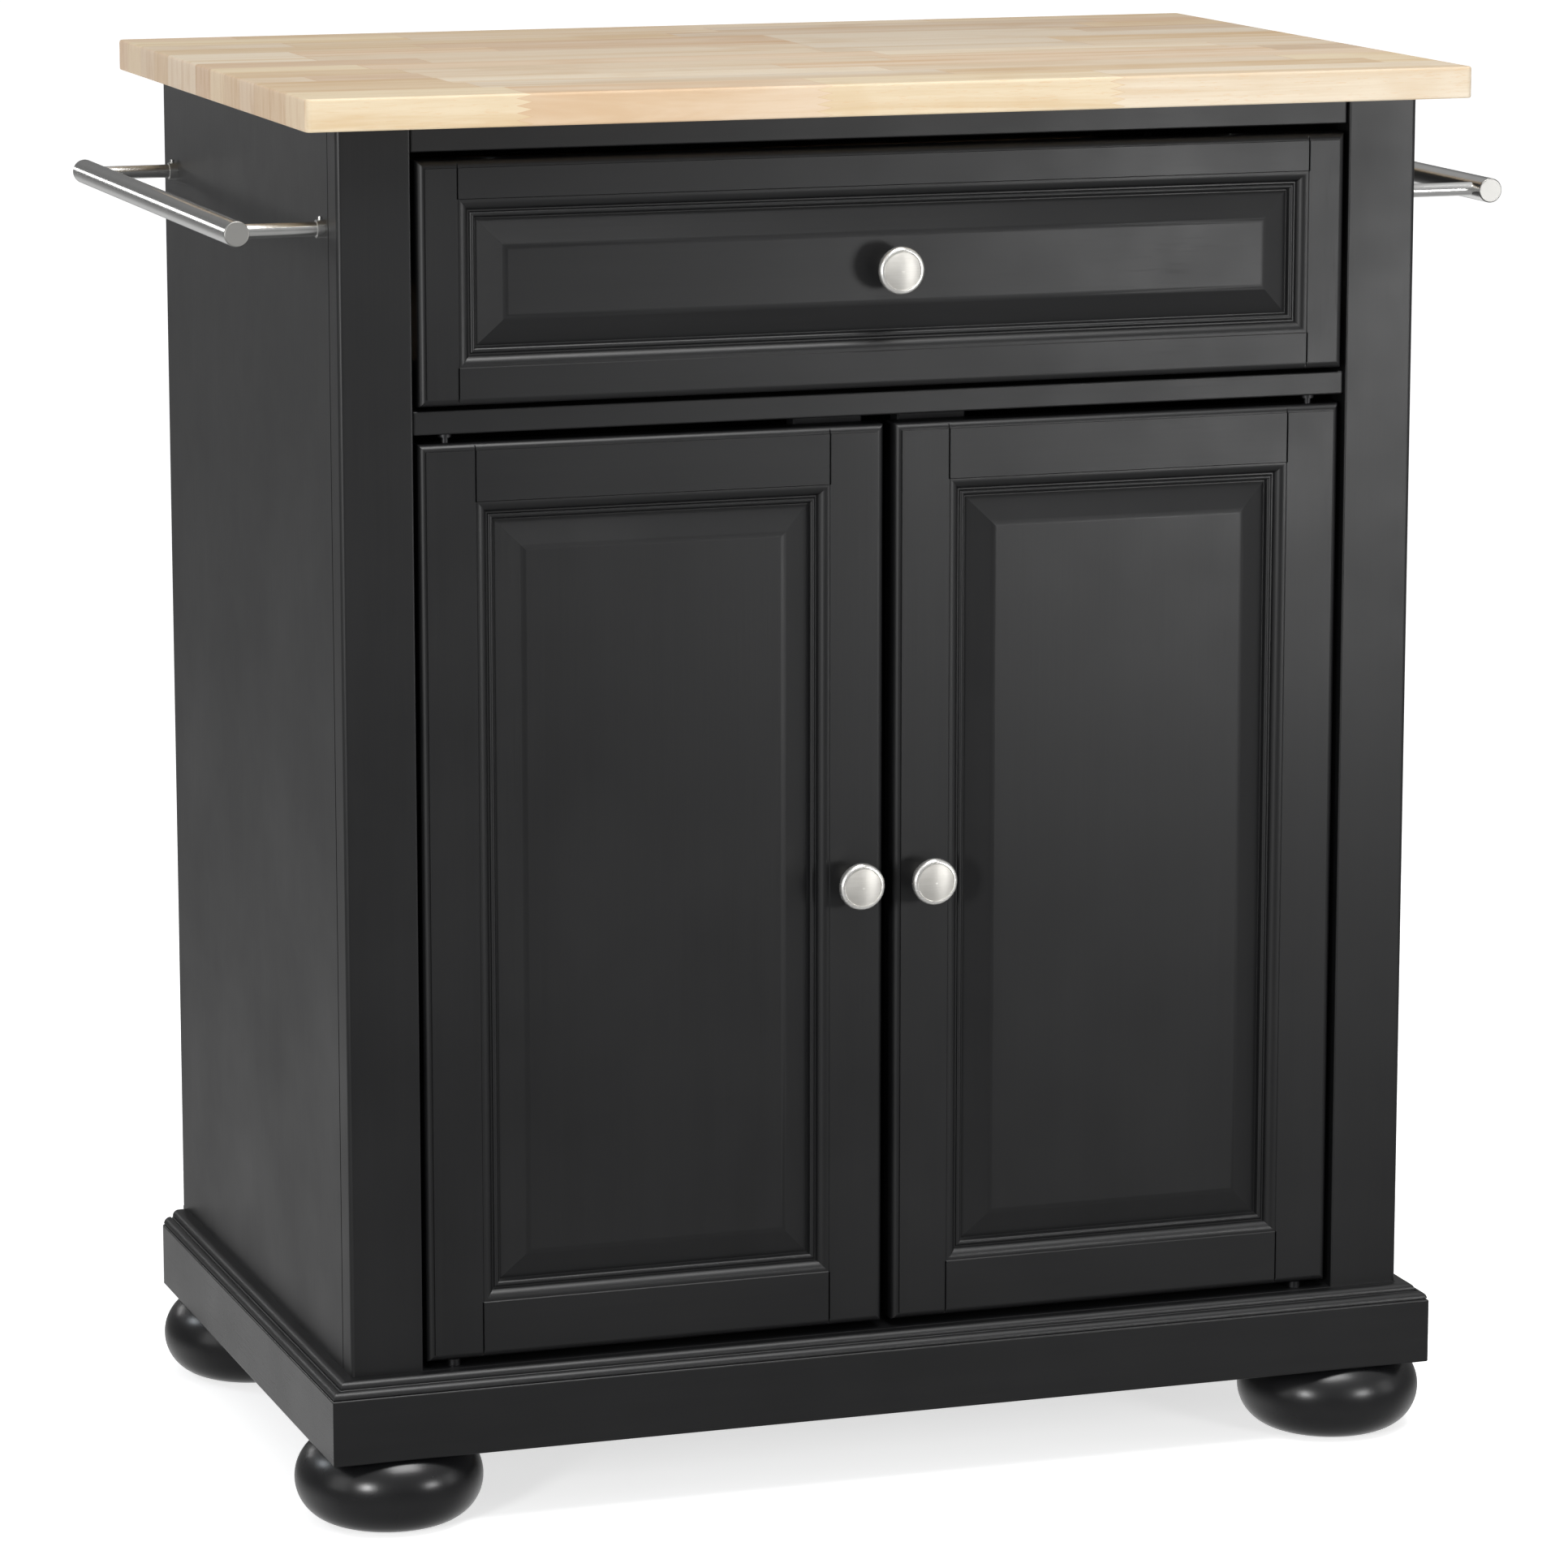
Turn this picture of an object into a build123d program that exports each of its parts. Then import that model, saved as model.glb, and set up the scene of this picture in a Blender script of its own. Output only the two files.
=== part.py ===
from build123d import *
import os

# Compact kitchen cart: butcher-block top on a painted frame-and-panel cabinet
# with one drawer, two inset doors on pivot pins, bun feet and two towel bars.
# Frame: origin at the bottom centre of the whole, +Z up, front faces -Y,
# +X to the right of someone facing the front. Millimetres.

os.makedirs("parts", exist_ok=True)

# ---------------------------------------------------------------- driving sizes
HEIGHT = 914.4            # overall height, 36 in
TOP_W, TOP_D, TOP_T = 772.0, 502.0, 20.3
TOP_CORNER_R, TOP_EDGE_R = 4.0, 1.8

CAB_HALF = 360.0          # half the cabinet's width
CAB_FRONT, CAB_BACK = -222.0, 232.0
UNDER_TOP = HEIGHT - TOP_T
SIDE_T = 16.0
STILE_W, STILE_T = 47.0, 21.0
OPEN_HALF = CAB_HALF - STILE_W
RAIL_SET = 2.5            # rails sit this far behind the stiles
RAIL_T = 18.5
TOP_RAIL_Z = 877.2
MID_RAIL_Z0, MID_RAIL_Z1 = 702.1, 717.2

DECK_Z0, DECK_Z1 = 94.0, 104.0
PLINTH_Z0, PLINTH_Z1 = 51.0, 94.0
PLINTH_HALF = 377.0
PLINTH_FRONT, PLINTH_BACK = -239.0, 223.0
PLINTH_T = 20.0
MOULD_OUT = 17.0

FOOT_X, FOOT_IN = 327.0, 52.0
FOOT_Y_FRONT = PLINTH_FRONT + FOOT_IN
FOOT_Y_BACK = PLINTH_BACK - FOOT_IN
FOOT_R = 60.6

DOOR_T = 19.0
DOOR_OUT, DOOR_IN = 309.4, 3.6
DOOR_Z0, DOOR_Z1 = 108.5, 696.3
DOOR_MEMBER = 36.5
DRAWER_HALF = 309.3
DRAWER_Z0, DRAWER_Z1 = 720.0, 872.0
DRAWER_STILE, DRAWER_RAIL = 25.3, 23.5
DRAWER_PROUD = 3.5
STICK_W = 13.0            # width of the moulded inner edge
SEAM_DEEP = 2.2           # depth of the open seams between members
PANEL_SET = 8.0           # depth of the panel's outer margin below the face
FIELD_SET = 1.8           # depth of the raised field below the face
BEVEL_W = 17.7
TONGUE, TONGUE_T = 5.0, 5.0

PIVOT_X, PIVOT_Y = 290.3, CAB_FRONT + 9.5
PIN_R, PIN_HOLE_R = 2.5, 2.55

KNOB_R, KNOB_OUT, KNOB_CROWN_R = 15.0, 22.0, 50.0
STUD_R = 2.0
DOOR_KNOB_X = 24.7
KNOB_Z_DOOR = (DOOR_Z0 + DOOR_Z1) / 2
KNOB_Z_DRAWER = (DRAWER_Z0 + DRAWER_Z1) / 2

BOX_HALF, BOX_T = 298.0, 12.0
BOX_Z0, BOX_Z1 = 735.0, 835.0
BOX_BACK = 190.0
ROLLER_R = 11.6
REAR_ROLLER_Y, REAR_ROLLER_Z = 178.0, 770.2
FRONT_ROLLER_Y, FRONT_ROLLER_Z = -187.0, 772.0

BAR_R, BAR_X, BAR_Z = 8.0, 419.5, 829.7
BAR_Y0, BAR_Y1 = -209.0, 213.0
ARM_R, ARM_YS = 4.45, (-193.0, 197.0)

SHELF_Z0, SHELF_T = 395.0, 16.0


def save(item, label):
    item.part.label = label
    export_step(item.part, "parts/" + label + ".step")


def face_plane(y):
    """Vertical plane at the given Y, seen from the front: local x = X, local y = Z."""
    return Plane.XZ.offset(-y)


def board(x0, x1, y0, y1, z0, z1):
    """Plain rectangular board between the given limits."""
    with BuildPart() as item:
        with BuildSketch(Plane.XY.offset(z0)):
            with Locations(((x0 + x1) / 2, (y0 + y1) / 2)):
                Rectangle(x1 - x0, y1 - y0)
        extrude(amount=z1 - z0)
    return item


# ---------------------------------------------------------------- butcher-block top
with BuildPart() as butcher_block_top:
    with BuildSketch(Plane.XY.offset(UNDER_TOP)):
        RectangleRounded(TOP_W, TOP_D, TOP_CORNER_R)
    extrude(amount=TOP_T)
    fillet(butcher_block_top.faces().sort_by(Axis.Z)[-1].edges(), TOP_EDGE_R)
    fillet(butcher_block_top.faces().sort_by(Axis.Z)[0].edges(), 1.2)
    with BuildSketch(Plane.XY.offset(UNDER_TOP)):
        with Locations((-250, -176), (250, -176), (-250, 201), (250, 201)):
            Circle(2.2)
    extrude(amount=12, mode=Mode.SUBTRACT)
save(butcher_block_top, "butcher_block_top")

# ---------------------------------------------------------------- face frame
for side, label in ((-1, "left_face_stile"), (1, "right_face_stile")):
    a, b = sorted((side * CAB_HALF, side * OPEN_HALF))
    with BuildPart() as stile:
        with BuildSketch(Plane.XY.offset(DECK_Z1)):
            with Locations(((a + b) / 2, CAB_FRONT + STILE_T / 2)):
                Rectangle(STILE_W, STILE_T)
        extrude(amount=UNDER_TOP - DECK_Z1)
        upright = stile.edges().filter_by(Axis.Z)
        fillet(upright.filter_by_position(Axis.X, side * CAB_HALF - 0.1, side * CAB_HALF + 0.1)
               .filter_by_position(Axis.Y, CAB_FRONT - 0.1, CAB_FRONT + 0.1), 3.0)
        upright = stile.edges().filter_by(Axis.Z)
        fillet(upright.filter_by_position(Axis.X, side * OPEN_HALF - 0.1, side * OPEN_HALF + 0.1)
               .filter_by_position(Axis.Y, CAB_FRONT - 0.1, CAB_FRONT + 0.1), 1.2)
        upright = stile.edges().filter_by(Axis.Z)
        chamfer(upright.filter_by_position(Axis.X, side * CAB_HALF - 0.1, side * CAB_HALF + 0.1)
                .filter_by_position(Axis.Y, CAB_FRONT + STILE_T - 0.1, CAB_FRONT + STILE_T + 0.1), 0.8)
    save(stile, label)

with BuildPart() as top_rail:
    with BuildSketch(Plane.XY.offset(TOP_RAIL_Z)):
        with Locations((0, CAB_FRONT + RAIL_SET + RAIL_T / 2)):
            Rectangle(2 * OPEN_HALF, RAIL_T)
    extrude(amount=UNDER_TOP - TOP_RAIL_Z)
    front_edges = top_rail.faces().sort_by(Axis.Y)[0].edges()
    fillet(front_edges.filter_by(Axis.Z), 2.2)
    fillet(top_rail.edges().filter_by(Axis.X).group_by(Axis.Z)[0].sort_by(Axis.Y)[0], 1.2)
save(top_rail, "top_rail")

with BuildPart() as mid_rail:
    with BuildSketch(Plane.XY.offset(MID_RAIL_Z0)):
        with Locations((0, CAB_FRONT + RAIL_SET + RAIL_T / 2)):
            Rectangle(2 * OPEN_HALF, RAIL_T)
    extrude(amount=MID_RAIL_Z1 - MID_RAIL_Z0)
    front_edges = mid_rail.faces().sort_by(Axis.Y)[0].edges()
    fillet(front_edges.filter_by(Axis.Z), 2.2)
    fillet(mid_rail.edges().filter_by(Axis.X).group_by(Axis.Z)[0].sort_by(Axis.Y)[0], 1.2)
    fillet(mid_rail.edges().filter_by(Axis.X).group_by(Axis.Z)[-1].sort_by(Axis.Y)[0], 1.2)
    with BuildSketch(Plane.XY.offset(MID_RAIL_Z0)):
        with Locations((-PIVOT_X, PIVOT_Y), (PIVOT_X, PIVOT_Y)):
            Circle(PIN_R)
    extrude(amount=10, mode=Mode.SUBTRACT)
save(mid_rail, "mid_rail")

# ---------------------------------------------------------------- carcass panels
for side, label in ((-1, "left_side_panel"), (1, "right_side_panel")):
    xin, xout = side * (CAB_HALF - SIDE_T), side * CAB_HALF
    a, b = sorted((xin, xout))
    with BuildPart() as side_panel:
        with BuildSketch(Plane.XY.offset(DECK_Z1)):
            with Locations(((a + b) / 2, (CAB_FRONT + STILE_T + CAB_BACK) / 2)):
                Rectangle(SIDE_T, CAB_BACK - CAB_FRONT - STILE_T)
        extrude(amount=UNDER_TOP - DECK_Z1)
        upright = side_panel.edges().filter_by(Axis.Z).filter_by_position(
            Axis.X, xout - 0.1, xout + 0.1)
        chamfer(upright.sort_by(Axis.Y)[0], 0.8)
        upright = side_panel.edges().filter_by(Axis.Z).filter_by_position(
            Axis.X, xout - 0.1, xout + 0.1)
        fillet(upright.sort_by(Axis.Y)[-1], 1.5)
        with BuildSketch(Plane.XY.offset(DECK_Z1)):
            with Locations((xout - side * SEAM_DEEP / 2, CAB_FRONT + STILE_T + 0.35)):
                Rectangle(SEAM_DEEP, 0.7)
        extrude(amount=UNDER_TOP - DECK_Z1, mode=Mode.SUBTRACT)
        with BuildSketch(Plane.YZ.offset(a)):
            with Locations(*[(y, BAR_Z) for y in ARM_YS]):
                Circle(2.6)
        extrude(amount=SIDE_T, mode=Mode.SUBTRACT)
        with BuildSketch(Plane.YZ.offset(xin)):
            with Locations((-130, SHELF_Z0 - 2.5), (180, SHELF_Z0 - 2.5)):
                Circle(2.5)
        extrude(amount=side * 8, mode=Mode.SUBTRACT)
    save(side_panel, label)

with BuildPart() as back_panel:
    with BuildSketch(face_plane(231.0)):
        with Locations((0, (DECK_Z1 + UNDER_TOP) / 2)):
            Rectangle(2 * (CAB_HALF - SIDE_T), UNDER_TOP - DECK_Z1)
    extrude(amount=5)
save(back_panel, "back_panel")

with BuildPart() as bottom_panel:
    with BuildSketch(Plane.XY.offset(DECK_Z0)):
        with Locations((0, (CAB_FRONT + CAB_BACK) / 2)):
            Rectangle(2 * CAB_HALF, CAB_BACK - CAB_FRONT)
    extrude(amount=DECK_Z1 - DECK_Z0)
    with BuildSketch(Plane.XY.offset(DECK_Z1 - 8)):
        with Locations((-PIVOT_X, PIVOT_Y), (PIVOT_X, PIVOT_Y)):
            Circle(PIN_R)
    extrude(amount=8, mode=Mode.SUBTRACT)
save(bottom_panel, "bottom_panel")

# Two cleats under the top and one stretcher behind the middle rail.
with BuildPart() as stretchers:
    with BuildSketch(Plane.XY.offset(878.0)):
        with Locations((0, -176), (0, 201)):
            Rectangle(2 * (CAB_HALF - SIDE_T), 50)
        with Locations((-250, -176), (250, -176), (-250, 201), (250, 201)):
            Circle(2.2, mode=Mode.SUBTRACT)
    extrude(amount=UNDER_TOP - 878.0)
    with BuildSketch(Plane.XY.offset(MID_RAIL_Z0)):
        with Locations((0, -171)):
            Rectangle(2 * (CAB_HALF - SIDE_T), 60)
    extrude(amount=MID_RAIL_Z1 - MID_RAIL_Z0)
save(stretchers, "stretchers")

adjustable_shelf = board(-343.5, 343.5, -175.0, 224.0, SHELF_Z0, SHELF_Z0 + SHELF_T)
save(adjustable_shelf, "adjustable_shelf")

with BuildPart() as shelf_pins:
    for side in (-1, 1):
        with BuildSketch(Plane.YZ.offset(side * 336.0)):
            with Locations((-130, SHELF_Z0 - 2.5), (180, SHELF_Z0 - 2.5)):
                Circle(2.5)
        extrude(amount=side * 16)
save(shelf_pins, "shelf_pins")

# ---------------------------------------------------------------- plinth
MITRE = PLINTH_T
with BuildPart() as plinth_front:
    with BuildSketch(Plane.XY.offset(PLINTH_Z0)):
        with BuildLine():
            Polyline((-PLINTH_HALF, PLINTH_FRONT), (PLINTH_HALF, PLINTH_FRONT),
                     (PLINTH_HALF - MITRE, PLINTH_FRONT + MITRE),
                     (-PLINTH_HALF + MITRE, PLINTH_FRONT + MITRE), close=True)
        make_face()
    extrude(amount=PLINTH_Z1 - PLINTH_Z0)
    front_edges = plinth_front.faces().sort_by(Axis.Y)[0].edges().filter_by(Axis.X)
    fillet(front_edges, 1.2)
save(plinth_front, "plinth_front")

for side, label in ((-1, "plinth_left"), (1, "plinth_right")):
    with BuildPart() as plinth_side:
        with BuildSketch(Plane.XY.offset(PLINTH_Z0)):
            with BuildLine():
                Polyline((side * PLINTH_HALF, PLINTH_FRONT), (side * PLINTH_HALF, PLINTH_BACK),
                         (side * (PLINTH_HALF - MITRE), PLINTH_BACK),
                         (side * (PLINTH_HALF - MITRE), PLINTH_FRONT + MITRE), close=True)
            make_face()
        extrude(amount=PLINTH_Z1 - PLINTH_Z0)
        outer = plinth_side.faces().sort_by(Axis.X)[0 if side < 0 else -1].edges().filter_by(Axis.Y)
        fillet(outer, 1.2)
    save(plinth_side, label)

plinth_back = board(-PLINTH_HALF + MITRE, PLINTH_HALF - MITRE,
                    PLINTH_BACK - PLINTH_T, PLINTH_BACK, PLINTH_Z0, PLINTH_Z1)
save(plinth_back, "plinth_back")

with BuildPart() as plinth_corner_blocks:
    with BuildSketch(Plane.XY.offset(PLINTH_Z0)):
        with Locations(*[(sx * 325, y) for sx in (-1, 1)
                         for y in (PLINTH_FRONT + MITRE + 32, PLINTH_BACK - MITRE - 32)]):
            Rectangle(64, 64)
        with Locations(*[(sx * FOOT_X, y) for sx in (-1, 1) for y in (FOOT_Y_FRONT, FOOT_Y_BACK)]):
            Circle(4.0, mode=Mode.SUBTRACT)
    extrude(amount=PLINTH_Z1 - PLINTH_Z0)
save(plinth_corner_blocks, "plinth_corner_blocks")


def mould_profile(sketch_points):
    """Outline of the base moulding; sketch_points maps (out, up) to plane coordinates."""
    p = sketch_points
    with BuildLine() as outline:
        Polyline(p(0, 0), p(15.0, 0), p(15.0, 0.7), p(16.2, 0.7))
        ThreePointArc(p(16.2, 0.7), p(14.9, 3.6), p(11.4, 4.9))
        Polyline(p(11.4, 4.9), p(10.6, 4.0), p(9.9, 4.9), p(9.9, 5.5))
        ThreePointArc(p(9.9, 5.5), p(8.7, 8.4), p(5.4, 9.7))
        Polyline(p(5.4, 9.7), p(0, 9.7), p(0, 0))
    return outline


with BuildPart() as base_moulding_front:
    with BuildSketch(Plane.YZ.offset(-PLINTH_HALF)):
        add(mould_profile(lambda o, u: (CAB_FRONT - o, DECK_Z0 + u)).line)
        make_face()
    extrude(amount=2 * PLINTH_HALF)
    with BuildSketch(Plane.XY.offset(DECK_Z0 - 1)):
        with BuildLine():
            Polyline((-CAB_HALF - 20, CAB_FRONT - 20), (CAB_HALF + 20, CAB_FRONT - 20),
                     (CAB_HALF, CAB_FRONT), (CAB_HALF - 5, CAB_FRONT + 5),
                     (-CAB_HALF + 5, CAB_FRONT + 5), (-CAB_HALF, CAB_FRONT), close=True)
        make_face()
    extrude(amount=14, mode=Mode.INTERSECT)
save(base_moulding_front, "base_moulding_front")

for side, label in ((-1, "base_moulding_left"), (1, "base_moulding_right")):
    with BuildPart() as mould_side:
        with BuildSketch(Plane.XZ.offset(-PLINTH_BACK)):
            add(mould_profile(lambda o, u: (side * (CAB_HALF + o), DECK_Z0 + u)).line)
            make_face()
        extrude(amount=PLINTH_BACK - PLINTH_FRONT)
        with BuildSketch(Plane.XY.offset(DECK_Z0 - 1)):
            with BuildLine():
                Polyline((side * (CAB_HALF + 20), CAB_FRONT - 20), (side * (CAB_HALF + 20), PLINTH_BACK),
                         (side * CAB_HALF, PLINTH_BACK), (side * CAB_HALF, CAB_FRONT), close=True)
            make_face()
        extrude(amount=14, mode=Mode.INTERSECT)
    save(mould_side, label)

# ---------------------------------------------------------------- bun feet
FEET = (("bun_foot_front_left", -1, FOOT_Y_FRONT), ("bun_foot_front_right", 1, FOOT_Y_FRONT),
        ("bun_foot_back_left", -1, FOOT_Y_BACK), ("bun_foot_back_right", 1, FOOT_Y_BACK))
for label, side, y in FEET:
    with BuildPart() as foot:
        with BuildSketch(Plane(origin=(side * FOOT_X, y, 0), x_dir=(1, 0, 0), z_dir=(0, -1, 0))):
            with BuildLine():
                Line((0, 0), (36, 0))
                ThreePointArc((36, 0), (FOOT_R, 27.0), (47.5, PLINTH_Z0))
                Polyline((47.5, PLINTH_Z0), (4.0, PLINTH_Z0), (4.0, 20), (0, 20), (0, 0))
            make_face()
        revolve(axis=Axis((side * FOOT_X, y, 0), (0, 0, 1)))
    save(foot, label)

with BuildPart() as foot_bolts:
    with BuildSketch(Plane.XY.offset(20)):
        with Locations(*[(sx * FOOT_X, y) for sx in (-1, 1) for y in (FOOT_Y_FRONT, FOOT_Y_BACK)]):
            Circle(4.0)
    extrude(amount=70)
save(foot_bolts, "foot_bolts")

# ---------------------------------------------------------------- framed doors and drawer front
def member_outline(width, p, thick):
    """Outline of a stile or rail of the given face width, with the moulded outer lip, the moulded
    inner edge and the panel groove. p maps (inward distance, depth below the face) to the plane."""
    m = width + STICK_W
    w = width
    with BuildLine() as outline:
        Line(p(0, thick), p(0, 6.0))
        ThreePointArc(p(0, 6.0), p(1.25, 2.5), p(4.6, 1.2))
        Polyline(p(4.6, 1.2), p(4.6, 0), p(w, 0), p(w + 0.5, 0.7))
        ThreePointArc(p(w + 0.5, 0.7), p(w + 5.2, 2.0), p(w + 7.3, 4.8))
        Polyline(p(w + 7.3, 4.8), p(w + 7.5, 5.6), p(w + 8.4, 5.6))
        ThreePointArc(p(w + 8.4, 5.6), p(w + 10.1, 4.5), p(w + 11.9, 5.9))
        Polyline(p(w + 11.9, 5.9), p(w + 12.6, 7.8), p(m, 7.8), p(m, PANEL_SET), p(m - 6, PANEL_SET),
                 p(m - 6, PANEL_SET + TONGUE_T + 0.2), p(m, PANEL_SET + TONGUE_T + 0.2),
                 p(m, thick), p(0, thick))
    return outline


def framed_ring(x0, x1, z0, z1, y_face, thick, ws, wr):
    """Four mitred bars joined into one moulded frame; ws and wr are the stile and rail face widths."""
    s, e = STICK_W, 4.6
    bars = []
    for side in (-1, 1):
        xo = x0 if side < 0 else x1
        with BuildPart() as bar:
            with BuildSketch(Plane.XY.offset(z0)):
                add(member_outline(ws, lambda d, k: (xo - side * d, y_face + k), thick).line)
                make_face()
            extrude(amount=z1 - z0)
            with BuildSketch(face_plane(y_face + thick + 1)):
                with BuildLine():
                    Polyline((xo, z0), (xo - side * e, z0 + e), (xo - side * ws, z0 + wr),
                             (xo - side * (ws + s), z0 + wr + s), (xo - side * (ws + s), z1 - wr - s),
                             (xo - side * ws, z1 - wr), (xo - side * e, z1 - e), (xo, z1), close=True)
                make_face()
            extrude(amount=thick + 2, mode=Mode.INTERSECT)
        bars.append(bar.part)
    for side in (-1, 1):
        zo = z0 if side < 0 else z1
        with BuildPart() as bar:
            with BuildSketch(Plane.YZ.offset(x0)):
                add(member_outline(wr, lambda d, k: (y_face + k, zo - side * d), thick).line)
                make_face()
            extrude(amount=x1 - x0)
            with BuildSketch(face_plane(y_face + thick + 1)):
                with BuildLine():
                    Polyline((x0, zo), (x0 + e, zo - side * e), (x0 + ws, zo - side * wr),
                             (x0 + ws + s, zo - side * (wr + s)), (x1 - ws - s, zo - side * (wr + s)),
                             (x1 - ws, zo - side * wr), (x1 - e, zo - side * e), (x1, zo), close=True)
                make_face()
            extrude(amount=thick + 2, mode=Mode.INTERSECT)
        bars.append(bar.part)
    with BuildPart() as ring:
        for bar_part in bars:
            add(bar_part)
        # open seams where each rail meets the stiles
        for xs in (x0 + ws, x1 - ws):
            for za, zb in ((z0, z0 + wr + 0.4), (z1 - wr - 0.4, z1)):
                with BuildSketch(Plane.XY.offset(za)):
                    with BuildLine():
                        Polyline((xs - 0.65, y_face - 1), (xs - 0.65, y_face), (xs - 0.4, y_face + 0.3),
                                 (xs - 0.4, y_face + SEAM_DEEP), (xs + 0.4, y_face + SEAM_DEEP),
                                 (xs + 0.4, y_face + 0.3), (xs + 0.65, y_face), (xs + 0.65, y_face - 1),
                                 close=True)
                    make_face()
                extrude(amount=zb - za, mode=Mode.SUBTRACT)
    return ring


def split_ring(ring, x0, x1, z0, z1, y_face, thick, ws, wr):
    """The ring cut into left stile, right stile, bottom rail and top rail."""
    s = STICK_W
    cut_y = face_plane(y_face + thick + 1)
    pieces = []
    for side in (-1, 1):
        xo = x0 if side < 0 else x1
        with BuildPart() as piece:
            add(ring.part)
            with BuildSketch(cut_y):
                with BuildLine():
                    Polyline((xo + side, z0 - 1), (xo - side * ws, z0 - 1), (xo - side * ws, z0 + wr),
                             (xo - side * (ws + s), z0 + wr + s),
                             (xo - side * (ws + s + 1), z0 + wr + s),
                             (xo - side * (ws + s + 1), z1 - wr - s),
                             (xo - side * (ws + s), z1 - wr - s), (xo - side * ws, z1 - wr),
                             (xo - side * ws, z1 + 1), (xo + side, z1 + 1), close=True)
                make_face()
            extrude(amount=thick + 3, mode=Mode.INTERSECT)
        pieces.append(piece)
    for side in (-1, 1):
        zo = z0 if side < 0 else z1
        with BuildPart() as piece:
            add(ring.part)
            with BuildSketch(cut_y):
                with BuildLine():
                    Polyline((x0 + ws, zo + side), (x1 - ws, zo + side), (x1 - ws, zo - side * wr),
                             (x1 - ws - s, zo - side * (wr + s)), (x0 + ws + s, zo - side * (wr + s)),
                             (x0 + ws, zo - side * wr), close=True)
                make_face()
            extrude(amount=thick + 3, mode=Mode.INTERSECT)
        pieces.append(piece)
    return pieces


def raised_panel(x0, x1, z0, z1, y_face, ws, wr, bores=()):
    """Raised panel: tongue in the frame's groove, sloping bevel, flat field. bores: (x, z, radius)."""
    ax0, ax1 = x0 + ws + STICK_W, x1 - ws - STICK_W
    az0, az1 = z0 + wr + STICK_W, z1 - wr - STICK_W
    cx, cz = (ax0 + ax1) / 2, (az0 + az1) / 2
    aw, ah = ax1 - ax0, az1 - az0
    with BuildPart() as panel:
        with BuildSketch(face_plane(y_face + PANEL_SET + TONGUE_T)):
            with Locations((cx, cz)):
                Rectangle(aw + 2 * TONGUE, ah + 2 * TONGUE)
        extrude(amount=TONGUE_T)
        with BuildSketch(face_plane(y_face + PANEL_SET)):
            with Locations((cx, cz)):
                Rectangle(aw - 0.3, ah - 0.3)
        with BuildSketch(face_plane(y_face + FIELD_SET)):
            with Locations((cx, cz)):
                Rectangle(aw - 2 * BEVEL_W, ah - 2 * BEVEL_W)
        loft()
        rim = panel.faces().sort_by(Axis.Y)[0].edges()
        fillet(rim, 11.0)
        for bx, bz, br in bores:
            with BuildSketch(face_plane(y_face + PANEL_SET + TONGUE_T + 1)):
                with Locations((bx, bz)):
                    Circle(br)
            extrude(amount=PANEL_SET + TONGUE_T + 3, mode=Mode.SUBTRACT)
    return panel


def knob(x, y, z, stud):
    """Round knob on a waisted neck; y is the face it seats on, stud the length behind it."""
    dome_r = KNOB_CROWN_R
    dome_rim = -KNOB_OUT + dome_r - (dome_r ** 2 - 12.0 ** 2) ** 0.5
    dome_mid = -KNOB_OUT + dome_r - (dome_r ** 2 - 6.0 ** 2) ** 0.5
    with BuildPart() as item:
        with BuildSketch(Plane(origin=(x, y, z), x_dir=(1, 0, 0), z_dir=(0, 0, 1))):
            with BuildLine():
                Polyline((0, stud), (STUD_R, stud), (STUD_R, 0), (8.2, 0), (8.2, -1.2))
                ThreePointArc((8.2, -1.2), (7.6, -2.2), (6.4, -2.8))
                ThreePointArc((6.4, -2.8), (5.2, -7.0), (6.6, -11.4))
                ThreePointArc((6.6, -11.4), (9.2, -13.8), (13.0, -15.0))
                ThreePointArc((13.0, -15.0), (14.414, -15.586), (KNOB_R, -17.0))
                Line((KNOB_R, -17.0), (KNOB_R, -18.5))
                ThreePointArc((KNOB_R, -18.5), (14.268, -20.268), (12.5, -21.0))
                Polyline((12.5, -21.0), (12.3, dome_rim + 0.3), (12.0, dome_rim))
                ThreePointArc((12.0, dome_rim), (6.0, dome_mid), (0, -KNOB_OUT))
                Line((0, -KNOB_OUT), (0, stud))
            make_face()
        revolve(axis=Axis((x, y, z), (0, 1, 0)))
    return item


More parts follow.
